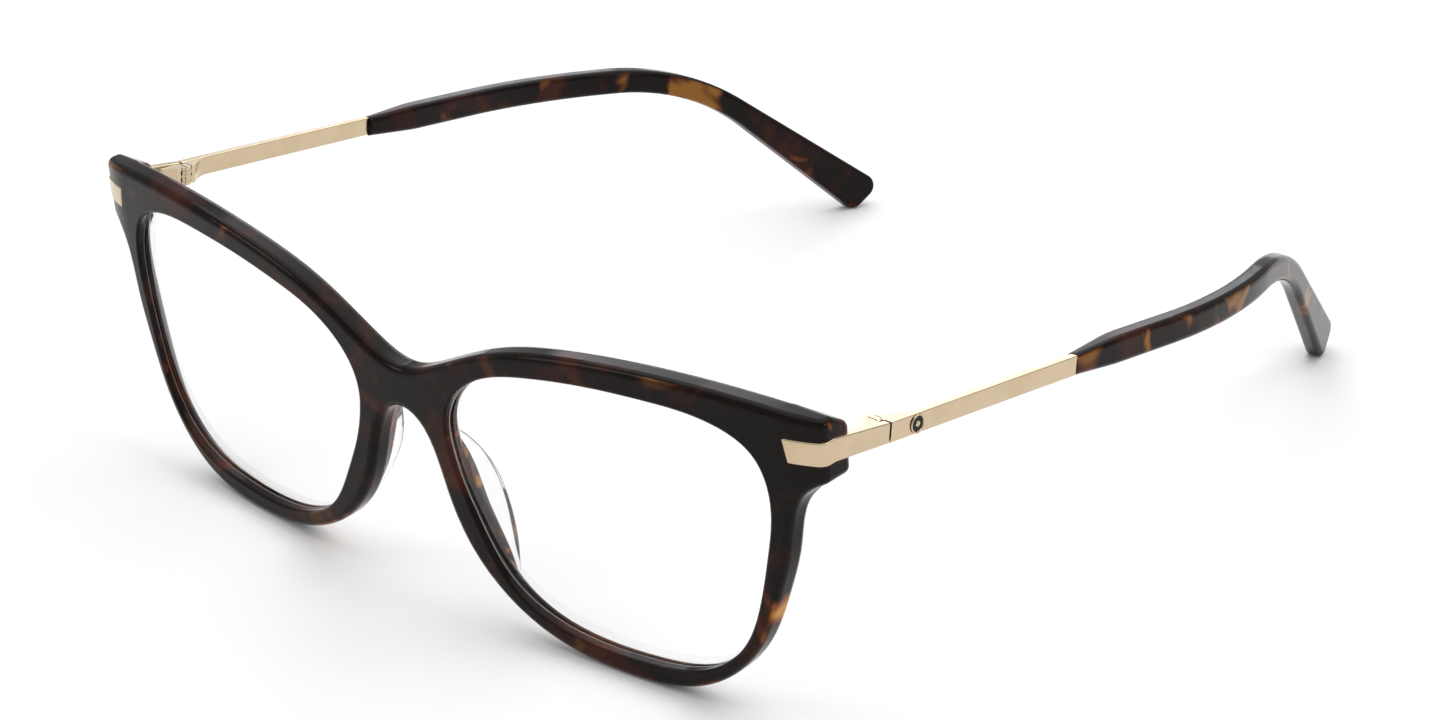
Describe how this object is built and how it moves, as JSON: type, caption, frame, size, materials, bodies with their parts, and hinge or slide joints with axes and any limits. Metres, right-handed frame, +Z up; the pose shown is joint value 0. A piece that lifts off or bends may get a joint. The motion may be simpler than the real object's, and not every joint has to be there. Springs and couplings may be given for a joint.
{
  "type": "eyeglasses frame",
  "caption": "Full-rim eyeglasses frame with a curved acetate front, clear lenses, metal hinges and temple bars, and bent acetate temple tips that fold inward.",
  "frame": {"origin": "middle of the footprint on the table, with the temples open and the frame standing on its two lower rims and two temple tips", "axes": "+X to the wearer's left, the lenses face -Y, the temples run back along +Y, +Z up"},
  "size_m": [0.1412, 0.1566, 0.0469],
  "materials": {
    "front_acetate": "polished dark tortoiseshell acetate",
    "clear_lens": "clear plastic demonstration lens",
    "clear_pad": "clear polished acetate",
    "gold_metal": "pale champagne gold, polished",
    "screw_metal": "pale gold plated screw",
    "tip_acetate": "polished dark tortoiseshell acetate",
    "badge_enamel": "black enamel"
  },
  "bodies": {
    "front_body": {"front": "front_acetate", "lens_left": "clear_lens", "lens_right": "clear_lens", "nose_block_left": "front_acetate", "nose_block_right": "front_acetate", "nose_pad_left": "clear_pad", "nose_pad_right": "clear_pad", "end_piece_left": "gold_metal", "end_piece_right": "gold_metal", "end_piece_pins_left": "screw_metal", "end_piece_pins_right": "screw_metal", "front_hinge_leaf_left": "gold_metal", "front_hinge_leaf_right": "gold_metal", "hinge_screw_left": "screw_metal", "hinge_screw_right": "screw_metal"},
    "left_temple": {"temple_hinge_leaf_left": "gold_metal", "temple_bar_left": "gold_metal", "temple_badge_left": "badge_enamel", "temple_tip_left": "tip_acetate"},
    "right_temple": {"temple_hinge_leaf_right": "gold_metal", "temple_bar_right": "gold_metal", "temple_badge_right": "badge_enamel", "temple_tip_right": "tip_acetate"}
  },
  "joints": [
    {"name": "left_temple_fold", "type": "hinge", "parent": "front_body", "child": "left_temple", "pos_m": [0.0668, -0.0589, 0.04022], "axis": [0, 0.0932, 0.9956], "range_deg": [0, 84]},
    {"name": "right_temple_fold", "type": "hinge", "parent": "front_body", "child": "right_temple", "pos_m": [-0.0668, -0.0589, 0.04022], "axis": [0, -0.0932, -0.9956], "range_deg": [0, 76]}
  ]
}
